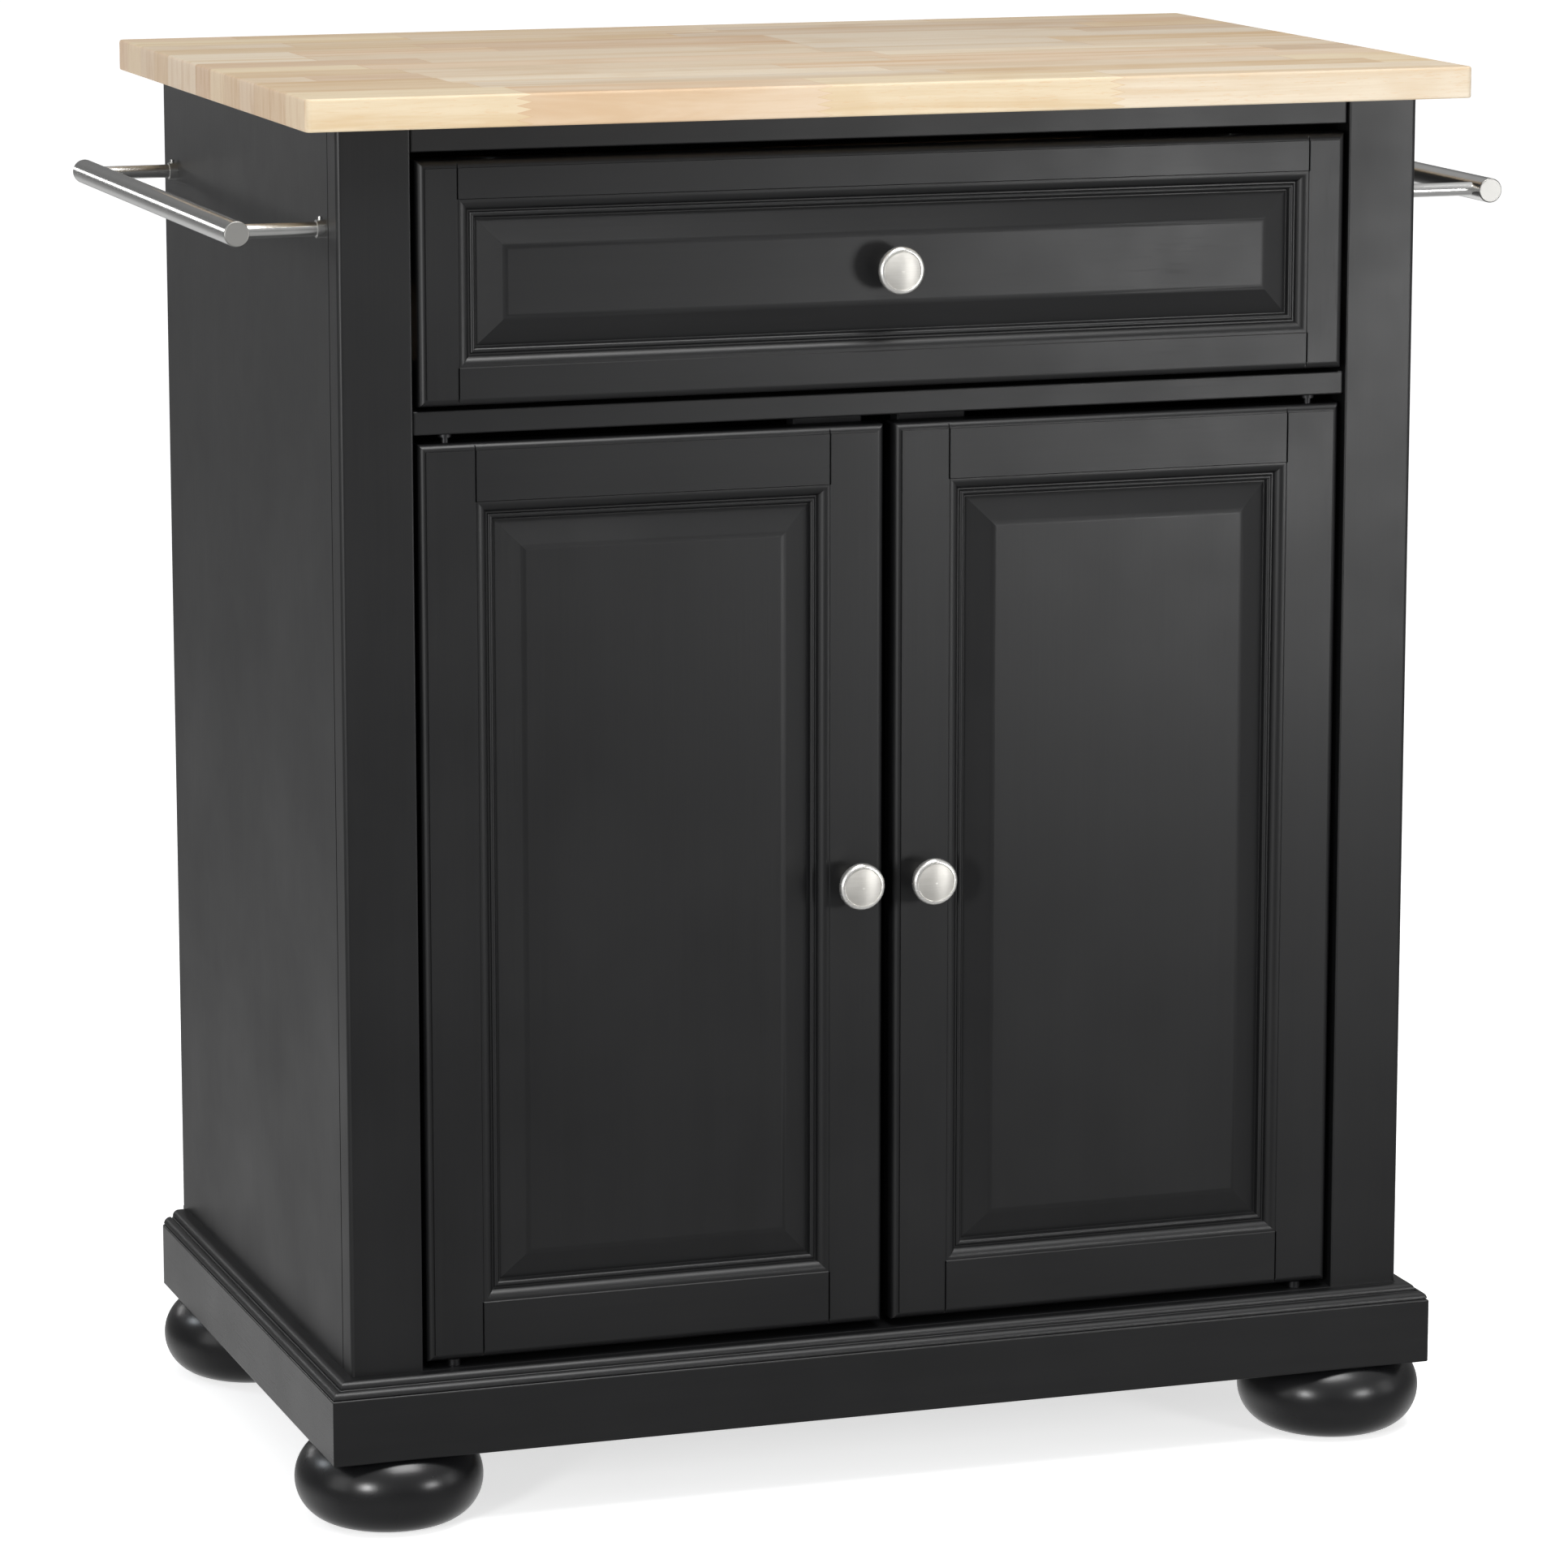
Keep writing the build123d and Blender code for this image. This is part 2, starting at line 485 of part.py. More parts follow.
for side, word in ((-1, "left"), (1, "right")):
    dx0, dx1 = sorted((side * DOOR_OUT, side * DOOR_IN))
    ring = framed_ring(dx0, dx1, DOOR_Z0, DOOR_Z1, CAB_FRONT, DOOR_T, DOOR_MEMBER, DOOR_MEMBER)
    low_x, high_x, bottom_r, top_r = split_ring(
        ring, dx0, dx1, DOOR_Z0, DOOR_Z1, CAB_FRONT, DOOR_T, DOOR_MEMBER, DOOR_MEMBER)
    hinge_blank, meeting_blank = (low_x, high_x) if side < 0 else (high_x, low_x)
    with BuildPart() as hinge_stile:
        add(hinge_blank.part)
        for z in (DOOR_Z0, DOOR_Z1 - 14):
            with BuildSketch(Plane.XY.offset(z)):
                with Locations((side * PIVOT_X, PIVOT_Y)):
                    Circle(PIN_HOLE_R)
            extrude(amount=14, mode=Mode.SUBTRACT)
    save(hinge_stile, word + "_door_hinge_stile")
    with BuildPart() as meeting_stile:
        add(meeting_blank.part)
        with BuildSketch(face_plane(CAB_FRONT + DOOR_T + 1)):
            with Locations((side * DOOR_KNOB_X, KNOB_Z_DOOR)):
                Circle(STUD_R + 0.1)
        extrude(amount=DOOR_T + 2, mode=Mode.SUBTRACT)
    save(meeting_stile, word + "_door_meeting_stile")
    save(bottom_r, word + "_door_bottom_rail")
    save(top_r, word + "_door_top_rail")
    save(raised_panel(dx0, dx1, DOOR_Z0, DOOR_Z1, CAB_FRONT, DOOR_MEMBER, DOOR_MEMBER),
         word + "_door_panel")
    save(knob(side * DOOR_KNOB_X, CAB_FRONT, KNOB_Z_DOOR, 16.0), word + "_door_knob")
    sx0, sx1 = sorted((side * 15, side * 55))
    strike_plate = board(sx0, sx1, CAB_FRONT + DOOR_T, CAB_FRONT + DOOR_T + 1.0, 682.0, 695.0)
    save(strike_plate, word + "_strike_plate")

DRAWER_FACE = CAB_FRONT - DRAWER_PROUD
ring = framed_ring(-DRAWER_HALF, DRAWER_HALF, DRAWER_Z0, DRAWER_Z1, DRAWER_FACE, DOOR_T,
                   DRAWER_STILE, DRAWER_RAIL)
drawer_parts = split_ring(ring, -DRAWER_HALF, DRAWER_HALF, DRAWER_Z0, DRAWER_Z1, DRAWER_FACE, DOOR_T,
                          DRAWER_STILE, DRAWER_RAIL)
for piece, label in zip(drawer_parts, ("drawer_front_left_stile", "drawer_front_right_stile",
                                       "drawer_front_bottom_rail", "drawer_front_top_rail")):
    save(piece, label)
save(raised_panel(-DRAWER_HALF, DRAWER_HALF, DRAWER_Z0, DRAWER_Z1, DRAWER_FACE, DRAWER_STILE,
                  DRAWER_RAIL, bores=((0, KNOB_Z_DRAWER, STUD_R + 0.1),)), "drawer_front_panel")
save(knob(0, DRAWER_FACE + FIELD_SET, KNOB_Z_DRAWER, 29.0), "drawer_knob")

# ---------------------------------------------------------------- pivot pins
with BuildPart() as pivot_pins:
    with BuildSketch(Plane.XY.offset(DOOR_Z1 - 12)):
        with Locations((-PIVOT_X, PIVOT_Y), (PIVOT_X, PIVOT_Y)):
            Circle(PIN_R)
    extrude(amount=MID_RAIL_Z0 + 10 - DOOR_Z1 + 12)
    with BuildSketch(Plane.XY.offset(MID_RAIL_Z0 - 2.2)):
        with Locations((-PIVOT_X, PIVOT_Y), (PIVOT_X, PIVOT_Y)):
            Circle(4.4)
    extrude(amount=2.2)
    with BuildSketch(Plane.XY.offset(DECK_Z1 - 8)):
        with Locations((-PIVOT_X, PIVOT_Y), (PIVOT_X, PIVOT_Y)):
            Circle(PIN_R)
    extrude(amount=DOOR_Z0 + 12 - DECK_Z1 + 8)
    with BuildSketch(Plane.XY.offset(DECK_Z1)):
        with Locations((-PIVOT_X, PIVOT_Y), (PIVOT_X, PIVOT_Y)):
            Circle(4.4)
    extrude(amount=DOOR_Z0 - DECK_Z1 - 0.4)
save(pivot_pins, "pivot_pins")

with BuildPart() as magnetic_catches:
    with BuildSketch(Plane.XY.offset(684.0)):
        with Locations((-35, -194.3), (35, -194.3)):
            Rectangle(46, 14.6)
    extrude(amount=MID_RAIL_Z0 - 684.0)
    chamfer(magnetic_catches.edges().filter_by(Axis.Z), 1.0)
save(magnetic_catches, "magnetic_catches")

# ---------------------------------------------------------------- drawer box and roller slides
SUB_Y0 = DRAWER_FACE + DOOR_T
with BuildPart() as drawer_box_front:
    with BuildSketch(face_plane(SUB_Y0 + BOX_T)):
        with Locations((0, (BOX_Z0 + BOX_Z1) / 2)):
            Rectangle(2 * BOX_HALF, BOX_Z1 - BOX_Z0)
        with Locations((0, KNOB_Z_DRAWER)):
            Circle(STUD_R + 0.1, mode=Mode.SUBTRACT)
    extrude(amount=BOX_T)
    fillet(drawer_box_front.edges().filter_by(Axis.X).group_by(Axis.Z)[-1].sort_by(Axis.Y)[-1], 2.0)
save(drawer_box_front, "drawer_box_front")

with BuildPart() as drawer_box_sides:
    with BuildSketch(Plane.XY.offset(BOX_Z0)):
        with Locations(*[(sx * (BOX_HALF - BOX_T / 2), (SUB_Y0 + BOX_T + BOX_BACK) / 2) for sx in (-1, 1)]):
            Rectangle(BOX_T, BOX_BACK - SUB_Y0 - BOX_T)
    extrude(amount=BOX_Z1 - BOX_Z0)
    fillet(drawer_box_sides.edges().filter_by(Axis.Y).group_by(Axis.Z)[-1], 2.0)
save(drawer_box_sides, "drawer_box_sides")

drawer_box_back = board(-BOX_HALF + BOX_T, BOX_HALF - BOX_T, BOX_BACK - BOX_T, BOX_BACK, 743.0, BOX_Z1)
save(drawer_box_back, "drawer_box_back")
drawer_box_bottom = board(-BOX_HALF + BOX_T, BOX_HALF - BOX_T, SUB_Y0 + BOX_T, BOX_BACK, 738.0, 743.0)
save(drawer_box_bottom, "drawer_box_bottom")

# Drawer members: a thin web on each side of the box, a top flange that runs over the front
# roller, and a stub axle for the rear roller.
with BuildPart() as drawer_runners:
    for side in (-1, 1):
        with BuildSketch(Plane.XZ.offset(-BOX_BACK)):
            with BuildLine():
                Polyline((side * BOX_HALF, 756.0), (side * (BOX_HALF + 1.2), 756.0),
                         (side * (BOX_HALF + 1.2), 783.9), (side * 308.0, 783.9),
                         (side * 308.0, 785.1), (side * BOX_HALF, 785.1), close=True)
            make_face()
        extrude(amount=BOX_BACK + 194.0)
        with BuildSketch(Plane.YZ.offset(side * BOX_HALF)):
            with Locations((REAR_ROLLER_Y, REAR_ROLLER_Z)):
                Circle(2.5)
        extrude(amount=side * 10.8)
save(drawer_runners, "drawer_runners")

# Cabinet members: C-shaped track, open towards the drawer, with the front roller's stub axle.
with BuildPart() as slide_tracks:
    for side in (-1, 1):
        with BuildSketch(Plane.XZ.offset(-200.0)):
            with BuildLine():
                Polyline((side * 311.0, 757.0), (side * 300.6, 757.0), (side * 300.6, 758.2),
                         (side * 309.8, 758.2), (side * 309.8, 782.2), (side * 300.6, 782.2),
                         (side * 300.6, 783.4), (side * 311.0, 783.4), close=True)
            make_face()
        extrude(amount=200.0 + 174.0)
        with BuildSketch(Plane.XZ.offset(174.0)):
            with Locations((side * 310.4, 770.2)):
                Rectangle(1.2, 26.4)
        extrude(amount=26.0)
        with BuildSketch(Plane.YZ.offset(side * 311.0)):
            with Locations((FRONT_ROLLER_Y, FRONT_ROLLER_Z)):
                Circle(2.5)
        extrude(amount=-side * 10.2)
save(slide_tracks, "slide_tracks")

with BuildPart() as slide_spacers:
    with BuildSketch(Plane.XY.offset(747.0)):
        with Locations((-327.5, 5), (327.5, 5)):
            Rectangle(33, 410)
    extrude(amount=46)
save(slide_spacers, "slide_spacers")

with BuildPart() as front_slide_rollers:
    for side in (-1, 1):
        with BuildSketch(Plane.YZ.offset(side * 301.2)):
            with Locations((FRONT_ROLLER_Y, FRONT_ROLLER_Z)):
                Circle(ROLLER_R)
                Circle(2.55, mode=Mode.SUBTRACT)
        extrude(amount=side * 7.8)
save(front_slide_rollers, "front_slide_rollers")

with BuildPart() as rear_slide_rollers:
    for side in (-1, 1):
        with BuildSketch(Plane.YZ.offset(side * 300.2)):
            with Locations((REAR_ROLLER_Y, REAR_ROLLER_Z)):
                Circle(ROLLER_R)
                Circle(2.55, mode=Mode.SUBTRACT)
        extrude(amount=side * 8.2)
save(rear_slide_rollers, "rear_slide_rollers")

# ---------------------------------------------------------------- towel bars
for side, label in ((-1, "left_towel_bar"), (1, "right_towel_bar")):
    with BuildPart() as towel_bar:
        with BuildSketch(face_plane(BAR_Y1)):
            with Locations((side * BAR_X, BAR_Z)):
                Circle(BAR_R)
        extrude(amount=BAR_Y1 - BAR_Y0)
        ends = towel_bar.edges().filter_by(GeomType.CIRCLE)
        fillet(ends, 0.8)
        with BuildSketch(Plane.YZ.offset(side * (BAR_X - BAR_R - 1))):
            with Locations(*[(y, BAR_Z) for y in ARM_YS]):
                Circle(ARM_R + 0.05)
        extrude(amount=side * 5, mode=Mode.SUBTRACT)
    save(towel_bar, label)

with BuildPart() as towel_bar_arms:
    for side in (-1, 1):
        with BuildSketch(Plane.YZ.offset(side * CAB_HALF)):
            with Locations(*[(y, BAR_Z) for y in ARM_YS]):
                Circle(ARM_R)
        extrude(amount=side * (BAR_X - BAR_R - 1 + 5 - CAB_HALF))
        with BuildSketch(Plane.YZ.offset(side * CAB_HALF)):
            with Locations(*[(y, BAR_Z) for y in ARM_YS]):
                Circle(5.7)
        extrude(amount=side * 5.5)
        with BuildSketch(Plane.XY.offset(BAR_Z)):
            with Locations(*[(side * (CAB_HALF + 3), y) for y in ARM_YS]):
                Circle(1.5)
        extrude(amount=7.6)
        with BuildSketch(Plane.YZ.offset(side * CAB_HALF)):
            with Locations(*[(y, BAR_Z) for y in ARM_YS]):
                Circle(2.5)
        extrude(amount=side * 12, mode=Mode.SUBTRACT)
save(towel_bar_arms, "towel_bar_arms")

# Screws: four up through the cleats into the top, four through the sides into the towel-bar arms.
with BuildPart() as assembly_screws:
    with BuildSketch(Plane.XY.offset(878.0)):
        with Locations((-250, -176), (250, -176), (-250, 201), (250, 201)):
            Circle(2.2)
    extrude(amount=UNDER_TOP + 11 - 878.0)
    with BuildSketch(Plane.XY.offset(875.4)):
        with Locations((-250, -176), (250, -176), (-250, 201), (250, 201)):
            Circle(4.4)
    extrude(amount=2.6)
    for side in (-1, 1):
        with BuildSketch(Plane.YZ.offset(side * (CAB_HALF - SIDE_T))):
            with Locations(*[(y, BAR_Z) for y in ARM_YS]):
                Circle(2.5)
        extrude(amount=side * (SIDE_T + 11))
        with BuildSketch(Plane.YZ.offset(side * (CAB_HALF - SIDE_T))):
            with Locations(*[(y, BAR_Z) for y in ARM_YS]):
                Circle(5.0)
        extrude(amount=-side * 3.2)
save(assembly_screws, "assembly_screws")
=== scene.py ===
import math

import bpy
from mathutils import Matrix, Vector

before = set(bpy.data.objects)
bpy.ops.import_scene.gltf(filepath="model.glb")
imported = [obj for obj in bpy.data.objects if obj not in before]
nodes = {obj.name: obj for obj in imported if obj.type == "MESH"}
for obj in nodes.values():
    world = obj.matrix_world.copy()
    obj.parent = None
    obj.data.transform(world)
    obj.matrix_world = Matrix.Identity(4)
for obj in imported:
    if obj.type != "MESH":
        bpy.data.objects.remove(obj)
scene = bpy.context.scene


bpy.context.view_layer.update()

scene.view_settings.view_transform = "Standard"
scene.view_settings.look = "None"
scene.view_settings.exposure = 0.0
scene.view_settings.gamma = 1.0


# ------------------------------------------------------------------ camera
cam_data = bpy.data.cameras.new("camera")
cam_data.sensor_width = 36.0
cam_data.lens = 148.08
cam_data.clip_start, cam_data.clip_end = 0.1, 200.0
cam_data.dof.use_dof = False
camera = bpy.data.objects.new("camera", cam_data)
camera.location = (-1.36601, -4.03756, 1.24743)
camera.rotation_euler = (math.pi / 2 - 0.19091, 0.0, -0.32716)
scene.collection.objects.link(camera)
scene.camera = camera


# ------------------------------------------------------------------ node helpers
class Tree:
    """Small wrapper that makes node set-ups short to write."""

    def __init__(self, name):
        self.mat = bpy.data.materials.new(name)
        self.mat.use_nodes = True
        self.t = self.mat.node_tree
        self.t.nodes.clear()
        self.out = self.t.nodes.new("ShaderNodeOutputMaterial")
        self.bsdf = self.t.nodes.new("ShaderNodeBsdfPrincipled")
        self.t.links.new(self.bsdf.outputs[0], self.out.inputs[0])
        self.coord = self.t.nodes.new("ShaderNodeTexCoord").outputs["Object"]

    def link(self, a, b):
        self.t.links.new(a, b)

    def put(self, socket, value):
        if isinstance(value, bpy.types.NodeSocket):
            self.link(value, socket)
        else:
            socket.default_value = value

    def set(self, **values):
        for k, v in values.items():
            self.put(self.bsdf.inputs[k.replace("_", " ")], v)

    def math(self, op, a, b=None, c=None, clamp=False):
        n = self.t.nodes.new("ShaderNodeMath")
        n.operation, n.use_clamp = op, clamp
        for i, v in enumerate((a, b, c)):
            if v is not None:
                self.put(n.inputs[i], v)
        return n.outputs[0]

    def xyz(self, vector=None):
        n = self.t.nodes.new("ShaderNodeSeparateXYZ")
        self.link(vector or self.coord, n.inputs[0])
        return n.outputs[0], n.outputs[1], n.outputs[2]

    def vec(self, x, y, z):
        n = self.t.nodes.new("ShaderNodeCombineXYZ")
        for i, v in enumerate((x, y, z)):
            self.put(n.inputs[i], v)
        return n.outputs[0]

    def mapping(self, scale, location=(0, 0, 0), rotation=(0, 0, 0), vector=None):
        n = self.t.nodes.new("ShaderNodeMapping")
        self.link(vector or self.coord, n.inputs["Vector"])
        n.inputs["Scale"].default_value = scale
        n.inputs["Location"].default_value = location
        n.inputs["Rotation"].default_value = rotation
        return n.outputs[0]

    def noise(self, vector, scale=1.0, detail=4.0, rough=0.55, distortion=0.0):
        n = self.t.nodes.new("ShaderNodeTexNoise")
        self.link(vector, n.inputs["Vector"])
        n.inputs["Scale"].default_value = scale
        n.inputs["Detail"].default_value = detail
        n.inputs["Roughness"].default_value = rough
        n.inputs["Distortion"].default_value = distortion
        return n.outputs[0]

    def white(self, value):
        n = self.t.nodes.new("ShaderNodeTexWhiteNoise")
        n.noise_dimensions = "1D"
        self.link(value, n.inputs["W"])
        return n.outputs[0]

    def span(self, value, a, b, c, d, smooth=False):
        n = self.t.nodes.new("ShaderNodeMapRange")
        if smooth:
            n.interpolation_type = "SMOOTHSTEP"
        self.link(value, n.inputs[0])
        for i, v in enumerate((a, b, c, d)):
            n.inputs[i + 1].default_value = v
        return n.outputs[0]

    def ramp(self, value, stops):
        n = self.t.nodes.new("ShaderNodeValToRGB")
        r = n.color_ramp
        while len(r.elements) < len(stops):
            r.elements.new(0.5)
        for e, (p, col) in zip(r.elements, stops):
            e.position, e.color = p, (*col, 1.0)
        self.link(value, n.inputs[0])
        return n.outputs[0]

    def mix(self, fac, a, b, mode="MIX"):
        n = self.t.nodes.new("ShaderNodeMix")
        n.data_type, n.blend_type = "RGBA", mode
        self.put(n.inputs[0], fac)
        self.put(n.inputs[6], a if isinstance(a, bpy.types.NodeSocket) else (*a, 1.0))
        self.put(n.inputs[7], b if isinstance(b, bpy.types.NodeSocket) else (*b, 1.0))
        return n.outputs[2]

    def bump(self, height, strength, distance, normal=None):
        n = self.t.nodes.new("ShaderNodeBump")
        n.inputs["Strength"].default_value = strength
        n.inputs["Distance"].default_value = distance
        self.link(height, n.inputs["Height"])
        if normal is not None:
            self.link(normal, n.inputs["Normal"])
        return n.outputs[0]


def stretch(axis, across, along):
    """Texture scale with long features along one axis."""
    return tuple(along if i == axis else across for i in range(3))


# ------------------------------------------------------------------ materials
def painted_wood(name, axis, gloss=0.0, peel=0.0):
    """Black satin paint over close-grained wood; the grain runs along the axis."""
    t = Tree(name)
    broad = t.noise(t.mapping(stretch(axis, 30, 2.2)), detail=3, rough=0.6, distortion=0.3)
    grain = t.noise(t.mapping(stretch(axis, 420, 9)), detail=5, rough=0.62, distortion=0.15)
    pores = t.noise(t.mapping(stretch(axis, 1500, 45)), detail=3, rough=0.5)
    tone = t.ramp(t.math("ADD", t.math("MULTIPLY", broad, 0.6), t.math("MULTIPLY", grain, 0.4)),
                  [(0.32, (0.0034, 0.0035, 0.0039)), (0.68, (0.0056, 0.0057, 0.0062))])
    pit = t.span(pores, 0.60, 0.70, 0.0, 1.0, smooth=True)
    t.set(Base_Color=t.mix(t.math("MULTIPLY", pit, 0.25), tone, (0.0022, 0.0022, 0.0025)))
    wobble = t.noise(t.mapping((9, 9, 9)), detail=3)
    t.set(Roughness=t.math("ADD", t.span(wobble, 0.3, 0.7, 0.36 - gloss, 0.44 - gloss),
                           t.math("MULTIPLY", pit, 0.03)))
    soft = t.bump(broad, 0.07, 0.0010)
    lines = t.bump(grain, 0.22, 0.00018, soft)
    if peel:
        lines = t.bump(t.noise(t.mapping((260, 260, 260)), detail=2, rough=0.5), peel, 0.00030, lines)
    t.set(Normal=t.bump(t.math("MULTIPLY", pit, -1.0), 0.08, 0.00008, lines))
    t.bsdf.inputs["Specular IOR Level"].default_value = 0.44
    return t.mat


def turned_paint(name):
    """The same paint, glossier and denser, on turned feet."""
    t = Tree(name)
    broad = t.noise(t.mapping((14, 14, 14)), detail=3)
    fine = t.noise(t.mapping((240, 240, 900)), detail=4)
    t.set(Base_Color=t.ramp(broad, [(0.3, (0.0040, 0.0041, 0.0046)), (0.7, (0.0062, 0.0063, 0.0070))]))
    t.set(Roughness=t.span(broad, 0.3, 0.7, 0.25, 0.31))
    t.set(Normal=t.bump(fine, 0.08, 0.00015, t.bump(broad, 0.06, 0.0010)))
    return t.mat


# Staves from front to back: where each one ends in Y, where its lengths are finger-jointed in X, and their tones.
CREAM, STRAW, SAND, OCHRE = (0.569, 0.488, 0.376), (0.564, 0.469, 0.328), (0.527, 0.434, 0.322), (0.499, 0.389, 0.261)
AMBER, ROSE, ASH, DUSK = (0.480, 0.361, 0.250), (0.538, 0.420, 0.300), (0.514, 0.439, 0.342), (0.459, 0.361, 0.261)
STAVES = [
    ((-0.248, -0.054, 0.141), (STRAW, ROSE, STRAW, CREAM)),
    ((-0.262, 0.050, 0.345), (OCHRE, ASH, OCHRE, STRAW)),
    ((-0.270, 0.022, 0.300), (OCHRE, CREAM, SAND, STRAW)),
    ((-0.346, -0.272, -0.035), (SAND, AMBER, SAND, ROSE)),
    ((-0.275, 0.050, 0.320), (OCHRE, SAND, ROSE, DUSK)),
    ((-0.290, 0.060, 0.300), (STRAW, ROSE, CREAM, SAND)),
    ((-0.240, 0.030, 0.220), (AMBER, SAND, ASH, SAND)),
    ((-0.305, 0.035, 0.215), (CREAM, SAND, ASH, OCHRE)),
    ((-0.305, -0.170, 0.037), (CREAM, ROSE, AMBER, ASH)),
    ((-0.210, 0.037, 0.260), (OCHRE, AMBER, ASH, DUSK)),
    ((-0.290, -0.020, 0.280), (SAND, OCHRE, DUSK, OCHRE)),
    ((-0.200, 0.020, 0.300), (STRAW, SAND, DUSK, AMBER)),
    ((-0.310, -0.060, 0.190), (ROSE, OCHRE, SAND, OCHRE)),
]
STAVE_WIDTH, FRONT_STAVE = 0.0386, -0.2015


def steps(t, pos, colours):
    """A ramp that holds one colour for each stave."""
    n = t.t.nodes.new("ShaderNodeValToRGB")
    r = n.color_ramp
    r.interpolation = "CONSTANT"
    while len(r.elements) < len(colours):
        r.elements.new(0.5)
    for i, (e, c) in enumerate(zip(r.elements, colours)):
        e.position, e.color = i / len(colours), (*c, 1.0)
    t.link(pos, n.inputs[0])
    return n.outputs[0]


def butcher_block(name):
    """Edge-glued staves along X, each of finger-jointed lengths; the cut ends show end grain."""
    t = Tree(name)
    x, y, z = t.xyz()
    drift = t.math("MULTIPLY", t.math("SUBTRACT", t.noise(t.mapping((5, 1, 1)), detail=2), 0.5), 0.0012)
    across = t.math("ADD", t.math("DIVIDE", t.math("SUBTRACT", t.math("ADD", y, drift), FRONT_STAVE), STAVE_WIDTH), 1.0)
    row = t.math("MAXIMUM", t.math("MINIMUM", t.math("FLOOR", across), 12.0), 0.0)
    pos = t.math("DIVIDE", t.math("ADD", row, 0.5), 13.0)
    # finger joints: interlocked teeth seen on the edges, straight lines seen from above
    teeth = t.math("MULTIPLY", t.math("SUBTRACT", t.math("PINGPONG", z, 0.00225), 0.0011), 4.4)
    along = t.math("ADD", x, teeth)
    joints = steps(t, pos, [tuple(v + 0.5 for v in st[0]) for st in STAVES])
    jx, jy, jz = t.xyz(joints)
    gaps = [t.math("SUBTRACT", t.math("ADD", along, 0.5), j) for j in (jx, jy, jz)]
    past = [t.math("GREATER_THAN", g, 0.0) for g in gaps]
    base = steps(t, pos, [st[1][0] for st in STAVES])
    for i, p in enumerate(past):
        base = t.mix(p, base, steps(t, pos, [st[1][i + 1] for st in STAVES]))
    cell = t.math("ADD", t.math("MULTIPLY", row, 4.0), t.math("ADD", past[0], t.math("ADD", past[1], past[2])))
    tint = t.white(t.math("ADD", cell, 0.31))
    hue = t.white(t.math("ADD", cell, 57.73))
    shift = t.vec(t.math("MULTIPLY", tint, 40.0), t.math("MULTIPLY", hue, 9.0), t.math("MULTIPLY", tint, 5.0))
    moved = t.t.nodes.new("ShaderNodeVectorMath")
    moved.operation = "ADD"
    t.link(t.coord, moved.inputs[0])
    t.link(shift, moved.inputs[1])
    moved = moved.outputs[0]
    flow = t.noise(t.mapping((2.4, 46, 34), vector=moved), detail=5, rough=0.58, distortion=0.9)
    cloud = t.noise(t.mapping((11, 16, 16), vector=moved), detail=3, rough=0.5)
    fibre = t.noise(t.mapping((22, 520, 520), vector=moved), detail=4, rough=0.6)
    dash = t.noise(t.mapping((120, 1300, 1300), vector=moved), detail=2, rough=0.5)
    deep = t.mix(1.0, base, (0.86, 0.76, 0.64), "MULTIPLY")
    pale = t.mix(0.35, base, (0.62, 0.58, 0.50))
    toned = t.mix(t.span(flow, 0.48, 0.68, 0.0, 0.85, smooth=True), base, deep)
    toned = t.mix(t.span(flow, 0.30, 0.45, 0.75, 0.0, smooth=True), toned, pale)
    toned = t.mix(t.span(cloud, 0.50, 0.68, 0.0, 0.45, smooth=True), toned, deep)
    toned = t.mix(t.span(fibre, 0.48, 0.72, 0.0, 0.30), toned, deep)
    # short brown pores, thick in some lengths and almost absent in others
    crowd = t.span(hue, 0.0, 1.0, 0.05, 0.45)
    flecks = t.math("MULTIPLY", t.span(dash, 0.60, 0.70, 0.0, 1.0, smooth=True), crowd)
    toned = t.mix(flecks, toned, (0.520, 0.330, 0.180))
    # end grain on the two short ends
    ends = t.span(t.math("ABSOLUTE", x), 0.3849, 0.3858, 0.0, 1.0)
    ring = t.noise(t.mapping((3, 150, 20), vector=moved), detail=4, rough=0.6, distortion=0.8)
    speck = t.noise(t.mapping((40, 900, 900), vector=moved), detail=2)
    end_tone = t.mix(0.22, base, (0.800, 0.560, 0.400))
    end_tone = t.mix(t.span(ring, 0.45, 0.66, 0.0, 0.60, smooth=True), end_tone,
                     t.mix(1.0, end_tone, (0.84, 0.74, 0.64), "MULTIPLY"))
    end_tone = t.mix(t.span(speck, 0.58, 0.70, 0.0, 0.35), end_tone, (0.560, 0.370, 0.240))
    toned = t.mix(ends, toned, end_tone)
